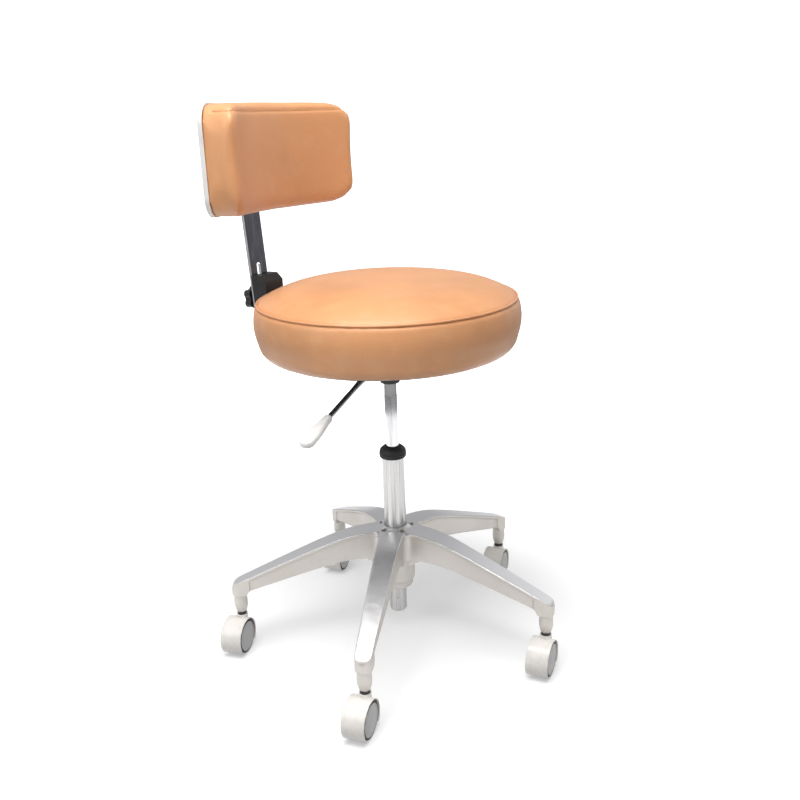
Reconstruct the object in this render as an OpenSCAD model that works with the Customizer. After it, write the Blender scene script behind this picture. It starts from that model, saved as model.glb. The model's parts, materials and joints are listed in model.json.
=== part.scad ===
// Dentist stool: a round cushioned seat and a curved backrest on a gas lift
// and a cast five-arm base with hooded twin-wheel casters.
// Millimetres. The origin is on the floor, on the column's axis. +Z is up,
// the sitter faces -Y, the backrest is at +Y and the lift lever points to -X.

/* [Seat] */
// Height of the seat's underside above the floor
seat_z = 483; // [478:1:490]
// Radius of the seat at its upper seam
seat_seam_r = 197; // [190:1:200]
// Height of the side band, from the underside to the seam
seat_band = 78; // [70:1:90]
// Rise of the crown above the seam
seat_crown = 32; // [15:1:35]
// How far the side band bulges past the seam
seat_bulge = 5; // [2:1:7]
// Thickness of the plywood seat board
board_t = 12; // [10:1:15]

/* [Backrest] */
// Width of the backrest
back_w = 300; // [280:5:320]
// Height of the backrest
back_h = 158; // [150:2:166]
// Thickness of the backrest at its middle, shell and cushion
back_t = 56; // [50:1:60]
// Radius of the curved rear surface
back_curve_r = 330; // [310:10:400]
// Height of the backrest's tilt pivot
pivot_z = 765; // [755:1:775]
// Lean of the flat bar, from upright
bar_lean = 4; // [3.8:0.1:4.2]
// Width of the flat bar
bar_w = 40; // [36:1:40]

/* [Column] */
// Outer radius of the column's top
column_r = 17.2; // [17:0.1:17.4]
// Height of the column's top
column_top_z = 312; // [305:1:314]
// Outer radius of the gas cylinder
cylinder_r = 10; // [10:0.1:10.2]
// Radius of the bulging black collar
collar_r = 21; // [19:0.5:23]

/* [Base] */
// Distance of the caster stems from the column
stem_circle_r = 257; // [240:1:270]
// Turn of the base, away from one arm straight ahead
base_turn = 2; // [-36:1:36]
// Height of the arms' top line at the hub
arm_top_z = 190; // [186:1:194]
// Slope of the arms
arm_slope = 0.40; // [0.38:0.01:0.42]
// Width of an arm beside the hub
arm_w_in = 38; // [34:1:40]
// Width of an arm at its end
arm_w_out = 25; // [24:0.5:26]

/* [Casters] */
// Radius of a wheel's tread
wheel_r = 27; // [26:0.5:27.5]
// Width over both wheels
twin_w = 35; // [34:0.5:38]
// Trail, from the stem to the axle
trail = 20; // [18:0.5:21]
// Heading of each caster's trailing side, in degrees
caster_headings = [-175, -172, -168, -165, -170];

/* [Lever] */
// Droop of the lift lever below level
lever_droop = 19; // [17:0.5:20]
// Length of the lever, from its pivot to its tip
lever_len = 210; // [195:5:225]

/* [Hidden] */
$fn = 72;
arm_count = 5;
arm_step = 360 / arm_count;
eps = 0.5;
slip = 0.05;                 // radial clearance of a running fit
gap = 0.3;                   // clearance between parts that move past each other

// --- casters
hood_r = wheel_r + 3;
hood_wall = 2;
web_half = 3;
wheel_in = web_half + 0.6;
wheel_out = twin_w / 2 - 0.5;
axle_r = 3;
axle_half = 15;
neck_r = 9;
neck_z = 56;
stem_r = 5;
stem_top_z = 95;
stem_step_z = 51;            // the stem is thinner below this, between the wheels
stem_foot_r = 2.4;
stem_foot_z = 34;
ring_r = 7.5;
boss_z = 61;

// --- base
sleeve_r = 7;
sleeve_top_z = 98;
boss_r = 11;
hub_r = 29;
hub_bottom_z = 84;
hub_bore_low_r = 14.6;
hub_bore_top_r = 17.4;
plate_t = 5.5;
wall_inset = 3;
wall_t = 4;
arm_reach = stem_circle_r + arm_w_out / 2;
corner_r = 10;               // round corner between the edges of two arms
corner_at = (corner_r - 0.1 + arm_half(40)) / sin(arm_step / 2);
corner_low_z = 138;
pit_r = 4;                   // pits round the column, one between each two arms
pit_at = 25;
pit_z = 181;
nub_arm = 4;                 // casting nub below this arm's side wall
nub_at = 107;
mark_arm = 1;                // small hole through this arm's side wall
mark_at = 123;

// --- column
column_end_z = 36;
column_end_r = 14.3;
tube_r = 12.5;
bush_r = 14;
bush_z = 226;
race_z = 48;
race_r = 10;
ball_r = 1.5;
ball_circle_r = 7;
ball_count = 10;
rod_r = 4;
rod_top_z = 215;
clip_z = 41;

// --- gas cylinder and mechanism
cylinder_z = 150;
bore_r = cylinder_r - 1.5;
taper_z = 409;
cylinder_top_z = 468;
cone_top_r = cylinder_r - 0.9;
pin_r = 2;
pin_top_z = 474;
plate_z = seat_z - 3;
plate_x = 80;
plate_y = 76;
channel_y = 24;
channel_x = 45;
channel_z = 446;
socket_r = 15;
socket_z = 430;
screw_x = 62;
screw_y = 58;
lever_x = -30;
lever_z = 470;
lever_pin_r = 3;

// --- seat
board_r = 176;
cover_t = 1;

// --- back support
leg_y = 216;
leg_t = 5;
bracket_z = 475;
bend_r = 6;
leg_top_z = 574;
bracket_start_y = 30;
bar_t = 5;
bar_ref_z = 535;             // height at which the bar's middle plane is placed
bar_ref_y = 238;
knob_s = 10;                 // places along the bar, from bar_ref_z
stud_r = 4;
block_half = 22.5;
block_z = 504;
block_top_z = 584;
block_y = 211;
slot_half = 4.3;
slot_low_s = knob_s - 36;
slot_high_s = knob_s + 53;
bar_low_s = -48;
barrel_r = 7;
tilt_pin_r = 4;
lug_in = bar_w / 2 + 0.5;
lug_t = 3;
pivot_y = bar_ref_y + (pivot_z - bar_ref_z) * tan(bar_lean);
back_mid_z = pivot_z + 1;
back_rear_y = pivot_y - 13.5;
curve_y = back_rear_y - back_curve_r;
shell_t = 3;
shell_rim = 8;
back_corner = 30;
pad_face_y = back_rear_y + 2;
bracket_plate_t = 2.5;

// ---------------------------------------------------------------- helpers

// Height of the arms' top line at radius r: level at the hub, then straight down the slope
function arm_top(r) = arm_top_z - arm_slope * (sqrt(pow(r - 75, 2) + 35 * 35) + r - 75) / 2;

// Depth of the arms' side walls at radius r
function arm_depth(r) = 52 - 0.115 * r;

// Half the width of an arm's top at radius r
function arm_half(r) = (arm_w_in + (arm_w_out - arm_w_in) * (r - 40) / (stem_circle_r - 40)) / 2;

module at_arm(i) {
    rotate([0, 0, base_turn - 90 + arm_step * (i - 1)]) children();
}

// A caster's own frame: the stem's axis is Z, and +X is its trailing side
module at_caster(i) {
    heading = base_turn - 90 + arm_step * (i - 1);
    translate([stem_circle_r * cos(heading), stem_circle_r * sin(heading), 0])
        rotate([0, 0, caster_headings[i - 1]]) children();
}

// A pipe standing on z0
module pipe(r_out, r_in, z0, z1) {
    translate([0, 0, z0]) difference() {
        cylinder(r = r_out, h = z1 - z0);
        translate([0, 0, -eps]) cylinder(r = r_in, h = z1 - z0 + 2 * eps);
    }
}

// A rod along Y from y0 to y1
module rod_y(r, y0, y1) {
    translate([0, y0, 0]) rotate([-90, 0, 0]) cylinder(r = r, h = y1 - y0);
}

// A rod along X from x0 to x1
module rod_x(r, x0, x1) {
    translate([x0, 0, 0]) rotate([0, 90, 0]) cylinder(r = r, h = x1 - x0);
}

// A bar along Z whose plan is a rectangle with round corners
module rounded_plan(w, d, r, h) {
    linear_extrude(h) {
        square([w - 2 * r, d], center = true);
        square([w, d - 2 * r], center = true);
        for (x = [-1, 1], y = [-1, 1]) {
            translate([x * (w / 2 - r), y * (d / 2 - r)]) circle(r);
        }
    }
}

// The frame of the leaning bar: local Z runs up the bar and local Y through it
module on_bar() {
    translate([0, bar_ref_y, bar_ref_z]) rotate([-bar_lean, 0, 0]) children();
}

// ---------------------------------------------------------------- base

// Side view of an arm: its top line lowered by "down", a round end over the boss, and the walls' lower edge
module arm_profile(down) {
    end_r = stem_circle_r;
    root_r = 34;
    join_z = boss_z + 30;
    cap_r = 14;
    cap_z = arm_top(end_r) - cap_r - 1;
    top = [for (r = [0 : 10 : end_r - 7]) [r, arm_top(r) - down]];
    cap = [for (a = [70 : -14 : 0]) [arm_reach - cap_r + (cap_r - down) * cos(a),
                                     cap_z + (cap_r - down) * sin(a)]];
    low = [for (r = [end_r - 14 : -12 : 44]) [r, arm_top(r) - arm_depth(r)]];
    polygon(concat(top, cap, [[arm_reach - down, join_z], [end_r - 10, join_z]], low,
                   [[root_r, arm_top(root_r) - 58], [0, arm_top(root_r) - 62]]));
}

// An arm from above, with its edges set in by "inset"
module arm_plan(inset) {
    polygon([[0, -arm_half(0) + inset], [stem_circle_r, -arm_half(stem_circle_r) + inset],
             [stem_circle_r, arm_half(stem_circle_r) - inset], [0, arm_half(0) - inset]]);
    translate([stem_circle_r, 0]) circle(arm_half(stem_circle_r) - inset);
}

// The filled corner between two arms from above, half way between them along +X: a kite less a circle
module corner_plan(inset) {
    half_step = arm_step / 2;
    round_r = corner_r + inset;
    touch = [corner_at - round_r * sin(half_step), round_r * cos(half_step)];
    difference() {
        polygon([[0, 0], touch, [corner_at, 0], [touch[0], -touch[1]]]);
        translate([corner_at, 0]) circle(round_r);
    }
}

module hub_corner() {
    top_z = arm_top(50);
    translate([0, 0, top_z - plate_t]) linear_extrude(plate_t) corner_plan(0);
    translate([0, 0, corner_low_z]) linear_extrude(top_z - 1 - corner_low_z) corner_plan(wall_inset);
}

module upright(w) {
    rotate([90, 0, 0]) linear_extrude(w, center = true) children();
}

module star_arm() {
    // top plate, over the full width
    intersection() {
        difference() {
            upright(60) arm_profile(0);
            upright(62) translate([0, -plate_t]) polygon([
                for (r = [-10 : 10 : stem_circle_r - 17]) [r, arm_top(max(r, 0))],
                [stem_circle_r - 12, 40], [-10, 40]]);
        }
        linear_extrude(240) arm_plan(0);
    }
    // side walls, set in under the plate's edges and open from below
    intersection() {
        upright(60) arm_profile(1);
        difference() {
            linear_extrude(240) arm_plan(wall_inset);
            translate([0, 0, -1]) linear_extrude(242) intersection() {
                arm_plan(wall_inset + wall_t);
                translate([hub_r + 4, -30]) square([stem_circle_r - hub_r - 22, 60]);
            }
        }
    }
}

// Boss for a caster's stem, slimmer at its foot
module caster_boss() {
    rotate_extrude() polygon([[0, boss_z], [boss_r - 2.8, boss_z], [boss_r - 2.2, boss_z + 3],
        [boss_r - 0.6, boss_z + 9], [boss_r, boss_z + 15], [boss_r - 0.3, boss_z + 22],
        [boss_r - 1, boss_z + 32], [boss_r - 1.4, boss_z + 44], [0, boss_z + 50]]);
}

// Round nub at the lower edge of one side wall
module casting_nub() {
    translate([nub_at, arm_half(nub_at) - wall_inset - wall_t / 2, arm_top(nub_at) - arm_depth(nub_at) + 1.5])
        rod_y(5, -1.6, 1.6);
}

module hub_body() {
    rotate_extrude() polygon([[0, hub_bottom_z], [hub_r - 5, hub_bottom_z], [hub_r - 3, hub_bottom_z + 3],
        [hub_r - 3, hub_bottom_z + 9], [hub_r, hub_bottom_z + 15], [hub_r + 1.5, 150],
        [hub_r + 1.5, arm_top_z - 8], [hub_r - 4, arm_top_z - 2], [hub_r - 9, arm_top_z + 2],
        [0, arm_top_z + 2]]);
}

module star_base() {
    color("silver") difference() {
        union() {
            hub_body();
            for (i = [1 : arm_count]) {
                at_arm(i) star_arm();
                at_arm(i) translate([stem_circle_r, 0, 0]) caster_boss();
                at_arm(i + 0.5) hub_corner();
            }
            at_arm(nub_arm) casting_nub();
        }
        // taper that holds the column
        translate([0, 0, hub_bottom_z - 1])
            cylinder(r1 = hub_bore_low_r - 0.03, r2 = hub_bore_top_r + 0.03, h = arm_top_z + 4 - hub_bottom_z);
        for (i = [1 : arm_count]) {
            at_arm(i) translate([stem_circle_r, 0, boss_z - 1])
                cylinder(r = sleeve_r, h = sleeve_top_z - boss_z + 1);
            at_arm(i + 0.5) translate([pit_at, 0, pit_z]) cylinder(r = pit_r, h = 20);
        }
        at_arm(mark_arm) translate([mark_at, -arm_half(mark_at), arm_top(mark_at) - 8.5]) rod_y(1.3, 0, 8);
    }
}

module stem_sleeves() {
    color("dimgray") for (i = [1 : arm_count]) {
        at_arm(i) translate([stem_circle_r, 0, 0]) difference() {
            translate([0, 0, boss_z]) cylinder(r = sleeve_r, h = sleeve_top_z - boss_z);
            translate([0, 0, boss_z - 1]) cylinder(r = stem_r + slip, h = sleeve_top_z - boss_z - 1);
        }
    }
}

// ---------------------------------------------------------------- casters

// Hood over both wheels: a cylinder shell with a middle web, cut open at the bottom
module caster_hood(i) {
    color("ivory") at_caster(i) difference() {
        union() {
            translate([trail, 0, wheel_r]) difference() {
                rod_y(hood_r, -twin_w / 2, twin_w / 2);
                for (side = [-1, 1]) {
                    translate([0, side * (web_half + twin_w / 2), 0])
                        rod_y(hood_r - hood_wall, -twin_w / 2, twin_w / 2);
                }
            }
            translate([0, 0, wheel_r]) cylinder(r = neck_r, h = neck_z - wheel_r);
        }
        // room for the wheels beside the neck
        translate([trail, 0, wheel_r]) for (side = [-1, 1]) {
            translate([0, side * (web_half + twin_w / 2), 0])
                rod_y(hood_r - hood_wall, -twin_w / 2, twin_w / 2);
        }
        translate([-50, -50, -40]) cube([130, 100, 40 + 9]);
        translate([0, 0, stem_step_z]) cylinder(r = stem_r, h = 10);
        translate([0, 0, stem_foot_z]) cylinder(r = stem_foot_r, h = 20);
        translate([trail, 0, wheel_r]) rod_y(axle_r, -20, 20);
    }
}

// Steel stem with a bearing ring round it and a thinner foot
module caster_stem(i) {
    color("dimgray") at_caster(i) rotate_extrude() polygon([[0, stem_foot_z], [stem_foot_r, stem_foot_z],
        [stem_foot_r, stem_step_z], [stem_r, stem_step_z], [stem_r, neck_z], [ring_r, neck_z],
        [ring_r, boss_z - gap], [stem_r, boss_z - gap], [stem_r, stem_top_z], [0, stem_top_z]]);
}

module caster_axle(i) {
    color("silver") at_caster(i) translate([trail, 0, wheel_r]) rod_y(axle_r, -axle_half, axle_half);
}

// One wheel: a dished disc with a black tread round it, on a blind bore
module wheel(i, side) {
    color("gray") at_caster(i) translate([trail, 0, wheel_r]) mirror([0, side < 0 ? 1 : 0, 0])
        rotate([-90, 0, 0]) rotate_extrude() polygon([
            [axle_r + slip, wheel_in], [7, wheel_in], [7, wheel_out - 4], [wheel_r - 6, wheel_out - 4],
            [wheel_r - 6, wheel_in], [wheel_r - 1, wheel_in], [wheel_r, wheel_in + 1],
            [wheel_r, wheel_out - 3], [wheel_r - 1.5, wheel_out - 1.5], [wheel_r - 3, wheel_out],
            [wheel_r - 5, wheel_out], [wheel_r - 6, wheel_out - 0.8], [0, wheel_out - 0.8],
            [0, axle_half + 0.4], [axle_r + slip, axle_half + 0.4]]);
}

// ---------------------------------------------------------------- column

// A shallow groove in the shape of a U, cut round a locking tongue in the tube's end
module tongue_groove() {
    heading = -148;
    rotate([0, 0, heading]) translate([column_end_r - 0.8, 0, 66]) rotate([90, 0, 90]) linear_extrude(2) {
        difference() {
            union() {
                circle(4.2);
                translate([-4.2, 0]) square([8.4, 14]);
            }
            circle(3.1);
            translate([-3.1, 0]) square([6.2, 15]);
        }
    }
}

module outer_column() {
    color("lightgray") difference() {
        rotate_extrude() polygon([[0, column_end_z], [column_end_r - 4, column_end_z],
            [column_end_r - 1.5, column_end_z + 1.5], [column_end_r, column_end_z + 5],
            [column_end_r, hub_bottom_z - 1], [hub_bore_low_r - 0.03, hub_bottom_z - 1],
            [hub_bore_top_r + 0.03, arm_top_z + 3], [column_r + 0.5, arm_top_z + 8],
            [column_r, column_top_z - 1], [column_r - 1, column_top_z], [0, column_top_z]]);
        // recess for the clip, hole for the rod, then the tube's bore
        translate([0, 0, column_end_z - 1]) cylinder(r = column_end_r - 4.8, h = 8.5);
        translate([0, 0, column_end_z]) cylinder(r = rod_r + slip, h = 20);
        translate([0, 0, race_z]) cylinder(r = tube_r, h = 300);
        translate([0, 0, bush_z]) cylinder(r = bush_r, h = 120);
        tongue_groove();
    }
}

module guide_bush() {
    color("black") pipe(bush_r, cylinder_r + slip, bush_z, column_top_z - 3);
}

// Bulging rubber collar on the column's top
module column_collar() {
    color("black") rotate_extrude() polygon([[cylinder_r + gap, column_top_z], [column_r, column_top_z],
        [column_r, column_top_z - 4], [collar_r - 1, column_top_z - 4], [collar_r, column_top_z - 1],
        [collar_r + 0.3, column_top_z + 5], [collar_r - 0.8, column_top_z + 9],
        [collar_r - 4, column_top_z + 12], [cylinder_r + 4, column_top_z + 14],
        [cylinder_r + gap, column_top_z + 14]]);
}

// Two races with balls between them, under the rod's shoulder
module thrust_bearing() {
    color("silver") {
        pipe(race_r, rod_r + 0.5, race_z, race_z + 1.5);
        for (k = [0 : ball_count - 1]) {
            rotate([0, 0, k * 360 / ball_count]) translate([ball_circle_r, 0, race_z + 1.5 + ball_r])
                sphere(r = ball_r, $fn = 24);
        }
        pipe(race_r, rod_r + 0.5, race_z + 1.5 + 2 * ball_r, race_z + 3 + 2 * ball_r);
    }
}

// Rod with a shoulder over the bearing, a groove for the clip and a piston on top
module piston_rod() {
    shoulder_z = race_z + 3 + 2 * ball_r + gap;
    color("silver") rotate_extrude() polygon([[0, clip_z - 2.5], [rod_r - 0.8, clip_z - 2.5],
        [rod_r, clip_z - 1.7], [rod_r, clip_z], [rod_r - 1, clip_z], [rod_r - 1, clip_z + 1.2],
        [rod_r, clip_z + 1.2], [rod_r, shoulder_z], [tube_r - 4, shoulder_z], [tube_r - 4, shoulder_z + 3],
        [rod_r, shoulder_z + 3], [rod_r, rod_top_z - 8], [bore_r - slip, rod_top_z - 8],
        [bore_r - slip, rod_top_z], [0, rod_top_z]]);
}

module retaining_clip() {
    color("dimgray") difference() {
        pipe(column_end_r - 6.5, rod_r - 1, clip_z, clip_z + 1.2);
        translate([0, -1.6, clip_z - 1]) cube([20, 3.2, 4]);
    }
}

// ---------------------------------------------------------------- lift

// Bright tube, closed below by the rod's gland and above by the valve, with a taper for the seat's socket
module gas_cylinder() {
    color("silver") difference() {
        rotate_extrude() polygon([[rod_r + slip, cylinder_z], [cylinder_r - 1, cylinder_z],
            [cylinder_r, cylinder_z + 1], [cylinder_r, taper_z], [cylinder_r - 0.3, taper_z + 0.6],
            [cone_top_r, cylinder_top_z], [0, cylinder_top_z], [0, cylinder_top_z - 18],
            [bore_r, cylinder_top_z - 18], [bore_r, cylinder_z + 10], [rod_r + slip, cylinder_z + 10]]);
        translate([0, 0, cylinder_top_z - 20]) cylinder(r = pin_r + slip, h = 30);
    }
}

module valve_pin() {
    low_z = cylinder_top_z - 12;
    color("gold") translate([0, 0, low_z]) cylinder(r = pin_r, h = pin_top_z - low_z);
}

// ---------------------------------------------------------------- seat mechanism

module plate_holes(z0, r, h) {
    for (x = [-1, 1], y = [-1, 1]) {
        translate([x * screw_x, y * screw_y, z0]) cylinder(r = r, h = h);
    }
}

function bracket_bolt_y() = [40, 64];

// Pressed plate with a channel below it and the taper socket for the cylinder
module seat_mechanism() {
    color("#202020") difference() {
        union() {
            translate([0, 0, plate_z]) rounded_plan(2 * plate_x, 2 * plate_y, 14, seat_z - plate_z);
            for (side = [-1, 1]) {
                translate([-channel_x, side * channel_y - 1.5, channel_z])
                    cube([2 * channel_x, 3, plate_z - channel_z]);
            }
            translate([-channel_x, -channel_y, channel_z]) cube([2 * channel_x, 2 * channel_y, 3]);
            translate([0, 0, socket_z]) cylinder(r = socket_r, h = 30);
        }
        translate([0, 0, taper_z + 0.6]) cylinder(r1 = cylinder_r - 0.3, r2 = cone_top_r,
            h = cylinder_top_z - taper_z - 0.6);
        plate_holes(plate_z - 1, 3.3, 6);
        translate([lever_x, 0, lever_z]) rod_y(lever_pin_r, -30, 30);
        for (y = bracket_bolt_y()) {
            translate([0, y, plate_z - 1]) cylinder(r = 4, h = 6);
        }
    }
}

module mechanism_screws() {
    color("silver") for (x = [-1, 1], y = [-1, 1]) {
        translate([x * screw_x, y * screw_y, 0]) {
            translate([0, 0, plate_z - 4]) cylinder(r = 5.5, h = 4);
            translate([0, 0, plate_z]) cylinder(r = 3, h = 13);
        }
    }
}

// Flanged nuts sunk into the board's top
module board_nuts() {
    color("silver") for (x = [-1, 1], y = [-1, 1]) {
        translate([x * screw_x, y * screw_y, 0]) {
            pipe(4.2, 3, seat_z + 3, seat_z + cover_t + board_t - 1.5);
            pipe(9, 3, seat_z + cover_t + board_t - 1.5, seat_z + cover_t + board_t);
        }
    }
}

module seat_board() {
    color("burlywood") difference() {
        translate([0, 0, seat_z + cover_t]) cylinder(r = board_r, h = board_t);
        plate_holes(seat_z, 4.2, 30);
        plate_holes(seat_z + cover_t + board_t - 1.5, 9, 10);
    }
}

module dust_cover() {
    color("#181818") difference() {
        translate([0, 0, seat_z]) cylinder(r = board_r, h = cover_t);
        plate_holes(seat_z - 1, 4.2, 10);
    }
}

// Round cushion: rounded lower edge, bulged band, seam, and a flat crown with a soft shoulder
module seat_cushion() {
    low_r = board_r + 6;
    seam_z = seat_z + seat_band;
    low_edge = [for (a = [-90 : 15 : 0]) [low_r + (seat_seam_r - low_r) * cos(a),
                                          seat_z + 22 + 22 * sin(a)]];
    band = [for (t = [0.1 : 0.15 : 1]) [seat_seam_r + seat_bulge * sin(180 * t),
                                        seat_z + 22 + (seat_band - 22) * t]];
    crown = [for (t = [1 : -0.1 : 0]) [seat_seam_r * t, seam_z + seat_crown * (1 - pow(t, 4.5))]];
    color("peachpuff") difference() {
        rotate_extrude($fn = 96) polygon(concat([[0, seat_z]], low_edge, band, crown));
        translate([0, 0, seat_z - 1]) cylinder(r = board_r, h = 1 + cover_t + board_t);
    }
}

// ---------------------------------------------------------------- lever

module lever_pivot_pin() {
    color("silver") translate([lever_x, 0, lever_z]) rod_y(lever_pin_r, -channel_y - 2.5, channel_y + 2.5);
}

// Local X runs down the lever, from the pivot towards its tip
module on_lever() {
    translate([lever_x, 0, lever_z]) rotate([0, 180 - lever_droop, 0]) children();
}

// Tongue over the valve pin, hinge eye, and a rod that thins towards the paddle
module release_lever() {
    rod_from = 16;
    rod_to = lever_len - 20;
    color("dimgray") difference() {
        union() {
            translate([lever_x, -7, pin_top_z + gap / 2]) cube([38, 14, 3]);
            translate([lever_x, 0, lever_z]) rod_y(6.5, -12, 12);
            on_lever() translate([0, -8, -4]) cube([rod_from + 4, 16, 8]);
            on_lever() rotate([0, 90, 0]) {
                translate([0, 0, rod_from]) cylinder(r1 = 6.5, r2 = 4, h = 60);
                translate([0, 0, rod_from + 60]) cylinder(r = 4, h = rod_to - rod_from - 60);
            }
        }
        translate([lever_x, 0, lever_z]) rod_y(lever_pin_r + slip, -20, 20);
    }
}

// Flattened spindle, pushed on the rod's end
module lever_paddle() {
    from = lever_len - 66;
    profile = [for (t = [0 : 0.1 : 1]) [6 + 5.5 * sin(90 * t) * t, from + 46 * t]];
    tip = [for (a = [0 : 15 : 90]) [11.5 * cos(a), from + 46 + 20 * sin(a)]];
    color("white") on_lever() rotate([0, 90, 0]) difference() {
        intersection() {
            rotate_extrude() polygon(concat([[0, from]], profile, tip));
            translate([-6.5, -20, from - 5]) cube([13, 40, 80]);
        }
        translate([0, 0, from - 1]) cylinder(r = 4, h = 47);
    }
}

// ---------------------------------------------------------------- back support

// Flat bar under the seat, bent up behind it
module back_bracket() {
    foot_y = leg_y - bend_r;
    color("#202020") difference() {
        union() {
            translate([-bar_w / 2, bracket_start_y, bracket_z]) cube([bar_w, foot_y - bracket_start_y, leg_t]);
            translate([0, foot_y, bracket_z + leg_t + bend_r]) rotate([-90, 0, -90]) intersection() {
                translate([0, 0, -bar_w / 2]) pipe(bend_r + leg_t, bend_r, 0, bar_w);
                translate([-30, 0, -bar_w / 2 - 1]) cube([30, 30, bar_w + 2]);
            }
            translate([-bar_w / 2, leg_y, bracket_z + leg_t + bend_r])
                cube([bar_w, leg_t, leg_top_z - bracket_z - leg_t - bend_r]);
        }
        for (y = bracket_bolt_y()) {
            translate([0, y, bracket_z - 1]) cylinder(r = 4, h = 8);
        }
        for (z = block_screw_z()) {
            translate([0, leg_y - 1, z]) rod_y(2.5, 0, 8);
        }
    }
}

module bracket_bolts() {
    color("silver") for (y = bracket_bolt_y()) {
        translate([0, y, bracket_z - 5]) cylinder(r = 6.5, h = 5);
        translate([0, y, bracket_z]) cylinder(r = 4, h = seat_z - bracket_z);
    }
}

function block_screw_z() = [516, 532];

// Moulded block round the bracket's leg: the bar slides on its leaning rear face
module guide_block() {
    color("#181818") difference() {
        union() {
            translate([-block_half, 0, 0]) rotate([90, 0, 90]) linear_extrude(2 * block_half)
                polygon([[block_y, block_z], [rear_y(block_z), block_z], [rear_y(block_top_z), block_top_z],
                         [block_y + 10, block_top_z], [block_y, block_top_z - 10]]);
            on_bar() translate([-4, -bar_t / 2 - 4, knob_s + 12]) cube([8, 8.5, 14]);
        }
        // slot for the leg, threaded hole for the knob, and screw holes
        translate([-bar_w / 2, leg_y, block_z - 1]) cube([bar_w, leg_t, leg_top_z - block_z + 1]);
        on_bar() translate([0, 0, knob_s]) rod_y(stud_r + slip, -12, 0);
        for (z = block_screw_z()) {
            translate([0, block_y - 1, z]) rod_y(2.5, 0, 22);
            translate([0, block_y - 1, z]) rod_y(5, 0, 5);
        }
    }
}

function rear_y(z) = bar_ref_y + (z - bar_ref_z) * tan(bar_lean) - bar_t / 2 / cos(bar_lean);

module block_screws() {
    color("silver") for (z = block_screw_z()) {
        translate([0, block_y, z]) rod_y(4.8, 1, 4);
        translate([0, block_y, z]) rod_y(2.5, 4, 17);
    }
}

// Slotted flat bar with a hinge barrel across its top
module back_bar() {
    barrel_s = (pivot_z - bar_ref_z) / cos(bar_lean);
    color("silver") difference() {
        union() {
            on_bar() translate([-bar_w / 2, -bar_t / 2 + slip, bar_low_s])
                cube([bar_w, bar_t - slip, barrel_s - bar_low_s]);
            on_bar() translate([0, 0, barrel_s]) rod_x(barrel_r, -bar_w / 2, bar_w / 2);
        }
        on_bar() translate([0, 0, barrel_s]) rod_x(tilt_pin_r + slip, -30, 30);
        on_bar() for (s = [slot_low_s, slot_high_s]) {
            translate([0, 0, s]) rod_y(slot_half, -10, 10);
        }
        on_bar() translate([-slot_half, -10, slot_low_s]) cube([2 * slot_half, 20, slot_high_s - slot_low_s]);
    }
}

// Five-lobed hand knob with a washer and a stud
module clamp_knob() {
    lobes = 5;
    washer_y = bar_t / 2 + gap;
    hub_y = washer_y + 2;
    head_y = hub_y + 6;
    head_t = 12;
    color("#181818") on_bar() translate([0, 0, knob_s]) rotate([-90, 0, 0]) {
        rotate_extrude() polygon([[0, -11], [stud_r, -11], [stud_r, washer_y], [11, washer_y],
            [11, hub_y], [9, hub_y], [9, head_y + 2], [0, head_y + 2]]);
        translate([0, 0, head_y]) linear_extrude(head_t) {
            circle(15);
            for (k = [0 : lobes - 1]) {
                rotate(k * 360 / lobes) translate([13, 0]) circle(6.5);
            }
        }
    }
}

// ---------------------------------------------------------------- backrest

function tilt_screws() = [for (x = [-1, 1], z = [-1, 1]) [x * 26.5, pivot_z + z * 25]];

module tilt_bracket() {
    plate_half_z = 33;
    color("#202020") difference() {
        union() {
            translate([0, pad_face_y, pivot_z]) rotate([-90, 0, 0])
                rounded_plan(66, 2 * plate_half_z, 6, bracket_plate_t);
            for (side = [-1, 1]) {
                translate([side * (lug_in + lug_t / 2) - lug_t / 2, 0, 0]) {
                    translate([0, pivot_y, pivot_z]) rod_x(barrel_r, 0, lug_t);
                    translate([0, pad_face_y + 1, pivot_z - barrel_r])
                        cube([lug_t, pivot_y - pad_face_y - 1, 2 * barrel_r]);
                }
            }
        }
        translate([0, pivot_y, pivot_z]) rod_x(tilt_pin_r, -40, 40);
        for (p = tilt_screws()) {
            translate([p[0], pad_face_y - 1, p[1]]) rod_y(2.5, 0, 6);
        }
    }
}

module tilt_pin() {
    color("silver") translate([0, pivot_y, pivot_z]) {
        rod_x(tilt_pin_r, -lug_in - lug_t, lug_in + lug_t);
        rod_x(tilt_pin_r + 2, lug_in + lug_t, lug_in + lug_t + 2);
        rod_x(tilt_pin_r + 2, -lug_in - lug_t - 2, -lug_in - lug_t);
    }
}

module tilt_bracket_screws() {
    color("silver") for (p = tilt_screws()) {
        translate([p[0], pad_face_y + bracket_plate_t, p[1]]) rod_y(4.5, 0, 2.5);
        translate([p[0], pad_face_y + bracket_plate_t, p[1]]) rod_y(2.5, -11, 0);
    }
}

// A curved slab between two depths behind the front, with its outline inset all round
module curved_slab(from, to, inset) {
    intersection() {
        translate([0, curve_y, back_mid_z - 100])
            pipe(back_curve_r - from, back_curve_r - to, 0, 200, $fn = 180);
        translate([0, 60, back_mid_z]) rotate([-90, 0, 0])
            rounded_plan(back_w - 2 * inset, back_h - 2 * inset, back_corner - inset, 250);
    }
}

// Tray-shaped plastic shell with a flat boss for the tilt bracket
module back_shell() {
    color("white") difference() {
        union() {
            curved_slab(0, shell_rim, 0);
            translate([0, pad_face_y - 6, pivot_z]) rotate([-90, 0, 0]) rounded_plan(72, 72, 8, 6);
        }
        curved_slab(shell_t, shell_rim + 20, shell_t);
        for (p = tilt_screws()) {
            translate([p[0], 60, p[1]]) rod_y(2.5, 0, 250);
        }
    }
}

module back_board() {
    color("burlywood") difference() {
        curved_slab(shell_t, shell_rim, shell_t);
        for (p = tilt_screws()) {
            translate([p[0], 60, p[1]]) rod_y(2.5, 0, 250);
        }
    }
}

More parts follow.
